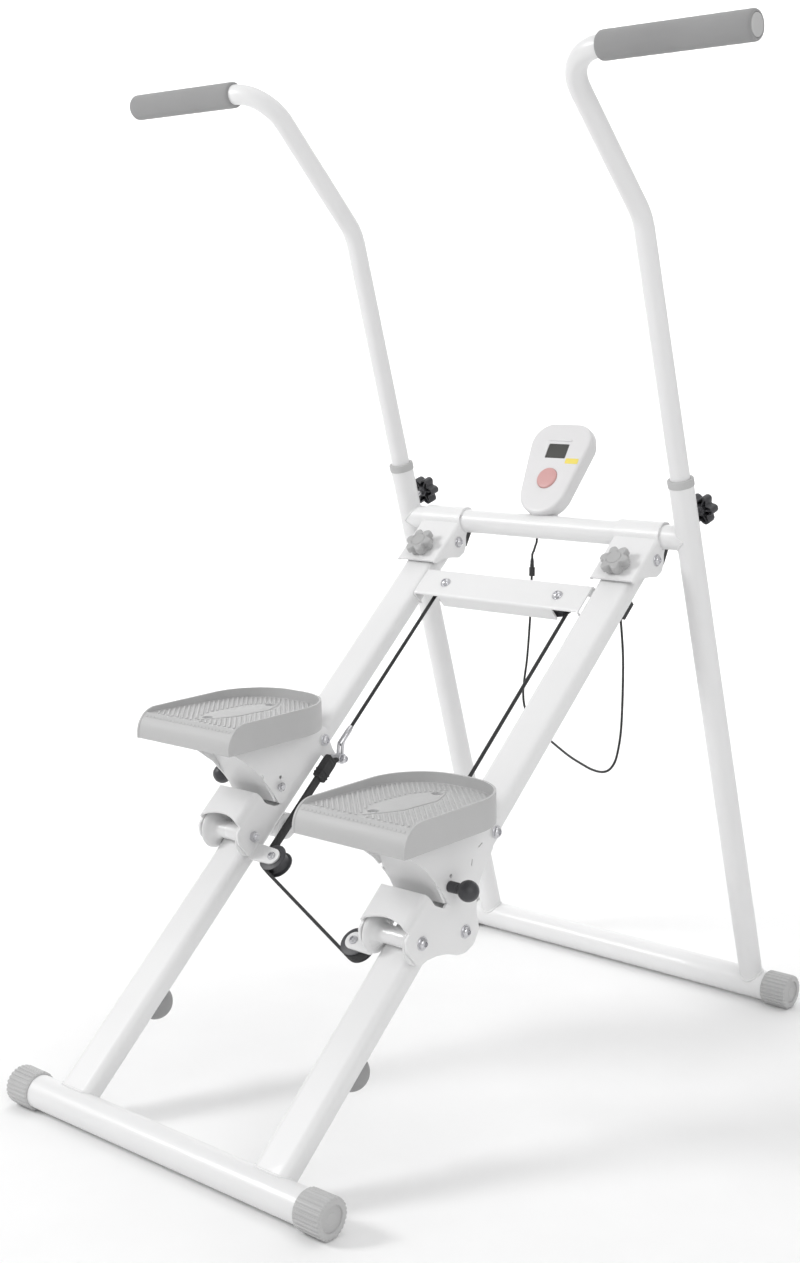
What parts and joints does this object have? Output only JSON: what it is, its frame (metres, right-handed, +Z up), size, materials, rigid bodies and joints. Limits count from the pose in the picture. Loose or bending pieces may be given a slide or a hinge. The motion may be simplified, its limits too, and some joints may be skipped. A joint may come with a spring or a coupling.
{
  "type": "folding climbing stepper",
  "caption": "Folding climbing stepper: two pedals on carriages that run up and down sloping rails, cable-linked, with fold-out rear frame, handlebars and console",
  "frame": {"origin": "centre of the footprint at floor level", "axes": "+Z up, +Y the way the user faces, +X to the user's right"},
  "size_m": [0.952, 0.936, 1.2421],
  "materials": {
    "frame_paint": "white gloss powder coat",
    "grey_plastic": "satin moulded light grey",
    "dark_plastic": "satin moulded dark grey",
    "foam": "matt closed-cell foam",
    "grey_rubber": "matt",
    "black_rubber": "matt",
    "zinc": "bright zinc plated",
    "roller": "smooth nylon",
    "console_shell": "smooth moulded",
    "window": "clear over dark display",
    "button": "smooth moulded",
    "band": "matt elastic"
  },
  "bodies": {
    "ladder": {"front_floor_tube": "frame_paint", "front_caps": "grey_plastic", "rail_left": "frame_paint", "rail_right": "frame_paint", "crossbeam": "frame_paint", "bumpers": "grey_rubber", "beam_bolts": "zinc", "cable_top": "black_rubber", "cable_left": "black_rubber", "cable_right": "black_rubber", "band_cross_left": "band", "band_cross_right": "band", "sensor_wire": "black_rubber", "sensor": "black_rubber"},
    "rear_frame": {"rear_floor_tube": "frame_paint", "rear_caps": "grey_plastic", "upright_left": "frame_paint", "upright_right": "frame_paint", "crossbar": "frame_paint", "hinge_brackets": "frame_paint", "hinge_bolts": "zinc", "stop_pads": "black_rubber", "sleeve_bushes": "grey_plastic", "console": "console_shell", "console_window": "window", "console_lead": "black_rubber", "lead_plug": "black_rubber"},
    "button": {"console_button": "button"},
    "cable_pulley_left": {"cable_pulley_left": "dark_plastic"},
    "carriage_left": {"carriage_left": "frame_paint", "carriage_bolts_left": "zinc", "cable_end_left": "zinc", "band_left": "band"},
    "front_roller_left": {"front_roller_left": "roller"},
    "rear_roller_left": {"rear_roller_left": "roller"},
    "drum_left": {"drum_left": "dark_plastic"},
    "pedal_left": {"pedal_left": "grey_plastic", "pedal_bracket_left": "frame_paint"},
    "pull_pin_left": {"pull_pin_left": "dark_plastic"},
    "rail_knob_left": {"rail_knob_left": "grey_plastic"},
    "upright_knob_left": {"upright_knob_left": "dark_plastic"},
    "handle_left": {"handlebar_left": "frame_paint", "grip_left": "foam", "grip_plug_left": "grey_plastic"},
    "cable_pulley_right": {"cable_pulley_right": "dark_plastic"},
    "carriage_right": {"carriage_right": "frame_paint", "carriage_bolts_right": "zinc", "cable_end_right": "zinc", "band_right": "band"},
    "front_roller_right": {"front_roller_right": "roller"},
    "rear_roller_right": {"rear_roller_right": "roller"},
    "drum_right": {"drum_right": "dark_plastic"},
    "pedal_right": {"pedal_right": "grey_plastic", "pedal_bracket_right": "frame_paint"},
    "pull_pin_right": {"pull_pin_right": "dark_plastic"},
    "rail_knob_right": {"rail_knob_right": "grey_plastic"},
    "upright_knob_right": {"upright_knob_right": "dark_plastic"},
    "handle_right": {"handlebar_right": "frame_paint", "grip_right": "foam", "grip_plug_right": "grey_plastic"}
  },
  "joints": [
    {"name": "frame_fold", "type": "hinge", "parent": "ladder", "child": "rear_frame", "pos_m": [0, 0.22813, 0.63685], "axis": [-1, 0, 0], "range_deg": [0, 60]},
    {"name": "button_press", "type": "slide", "parent": "rear_frame", "child": "button", "axis": [0, 0.848, -0.5299], "range_m": [0, 0.0015], "stiffness_N_per_m": 400},
    {"name": "cable_pulley_left_spin", "type": "hinge", "parent": "ladder", "child": "cable_pulley_left", "pos_m": [-0.0934, 0.16667, 0.57958], "axis": [0, -0.673, 0.7396], "continuous": true},
    {"name": "carriage_left_slide", "type": "slide", "parent": "ladder", "child": "carriage_left", "axis": [0, 0.7396, 0.673], "range_m": [-0.188, 0.112], "deforming": ["cable_left", "band_cross_left"]},
    {"name": "front_roller_left_spin", "type": "hinge", "parent": "carriage_left", "child": "front_roller_left", "pos_m": [-0.163, -0.17747, 0.29956], "axis": [1, 0, 0], "continuous": true},
    {"name": "rear_roller_left_spin", "type": "hinge", "parent": "carriage_left", "child": "rear_roller_left", "pos_m": [-0.163, -0.10092, 0.29418], "axis": [1, 0, 0], "continuous": true},
    {"name": "drum_left_spin", "type": "hinge", "parent": "carriage_left", "child": "drum_left", "pos_m": [-0.095, -0.1706, 0.27269], "axis": [0, -0.673, 0.7396], "continuous": true},
    {"name": "pedal_left_tilt", "type": "hinge", "parent": "carriage_left", "child": "pedal_left", "pos_m": [-0.163, -0.0526, 0.40304], "axis": [-1, 0, 0], "range_deg": [0, 45]},
    {"name": "pull_pin_left_pull", "type": "slide", "parent": "pedal_left", "child": "pull_pin_left", "axis": [-1, 0, 0], "range_m": [0, 0.012], "stiffness_N_per_m": 300},
    {"name": "rail_knob_left_turn", "type": "hinge", "parent": "rear_frame", "child": "rail_knob_left", "pos_m": [-0.163, 0.19242, 0.63004], "axis": [0, -0.673, 0.7396], "continuous": true},
    {"name": "upright_knob_left_turn", "type": "hinge", "parent": "rear_frame", "child": "upright_knob_left", "pos_m": [-0.232, 0.26843, 0.69896], "axis": [0, 0.9558, 0.294], "continuous": true},
    {"name": "handle_left_height", "type": "slide", "parent": "rear_frame", "child": "handle_left", "axis": [0, -0.294, 0.9558], "range_m": [-0.2, 0.08]},
    {"name": "cable_pulley_right_spin", "type": "hinge", "parent": "ladder", "child": "cable_pulley_right", "pos_m": [0.0934, 0.16667, 0.57958], "axis": [0, -0.673, 0.7396], "continuous": true},
    {"name": "carriage_right_slide", "type": "slide", "parent": "ladder", "child": "carriage_right", "axis": [0, 0.7396, 0.673], "range_m": [-0.112, 0.188], "deforming": ["cable_right", "band_cross_right"]},
    {"name": "front_roller_right_spin", "type": "hinge", "parent": "carriage_right", "child": "front_roller_right", "pos_m": [0.163, -0.23368, 0.24841], "axis": [1, 0, 0], "continuous": true},
    {"name": "rear_roller_right_spin", "type": "hinge", "parent": "carriage_right", "child": "rear_roller_right", "pos_m": [0.163, -0.15713, 0.24303], "axis": [1, 0, 0], "continuous": true},
    {"name": "drum_right_spin", "type": "hinge", "parent": "carriage_right", "child": "drum_right", "pos_m": [0.095, -0.22681, 0.22154], "axis": [0, -0.673, 0.7396], "continuous": true},
    {"name": "pedal_right_tilt", "type": "hinge", "parent": "carriage_right", "child": "pedal_right", "pos_m": [0.163, -0.10881, 0.35189], "axis": [-1, 0, 0], "range_deg": [0, 45]},
    {"name": "pull_pin_right_pull", "type": "slide", "parent": "pedal_right", "child": "pull_pin_right", "axis": [1, 0, 0], "range_m": [0, 0.012], "stiffness_N_per_m": 300},
    {"name": "rail_knob_right_turn", "type": "hinge", "parent": "rear_frame", "child": "rail_knob_right", "pos_m": [0.163, 0.19242, 0.63004], "axis": [0, -0.673, 0.7396], "continuous": true},
    {"name": "upright_knob_right_turn", "type": "hinge", "parent": "rear_frame", "child": "upright_knob_right", "pos_m": [0.232, 0.26843, 0.69896], "axis": [0, 0.9558, 0.294], "continuous": true},
    {"name": "handle_right_height", "type": "slide", "parent": "rear_frame", "child": "handle_right", "axis": [0, -0.294, 0.9558], "range_m": [-0.2, 0.08]}
  ],
  "couplings": [
    {"joint": "front_roller_left_spin", "follows": "carriage_left_slide", "rad_per_m": -91.324},
    {"joint": "rear_roller_left_spin", "follows": "carriage_left_slide", "rad_per_m": 57.471},
    {"joint": "cable_pulley_left_spin", "follows": "carriage_left_slide", "rad_per_m": -56.818},
    {"joint": "carriage_right_slide", "follows": "carriage_left_slide", "ratio": -1},
    {"joint": "front_roller_right_spin", "follows": "carriage_left_slide", "rad_per_m": 91.324},
    {"joint": "rear_roller_right_spin", "follows": "carriage_left_slide", "rad_per_m": -57.471},
    {"joint": "cable_pulley_right_spin", "follows": "carriage_left_slide", "rad_per_m": -56.818}
  ]
}
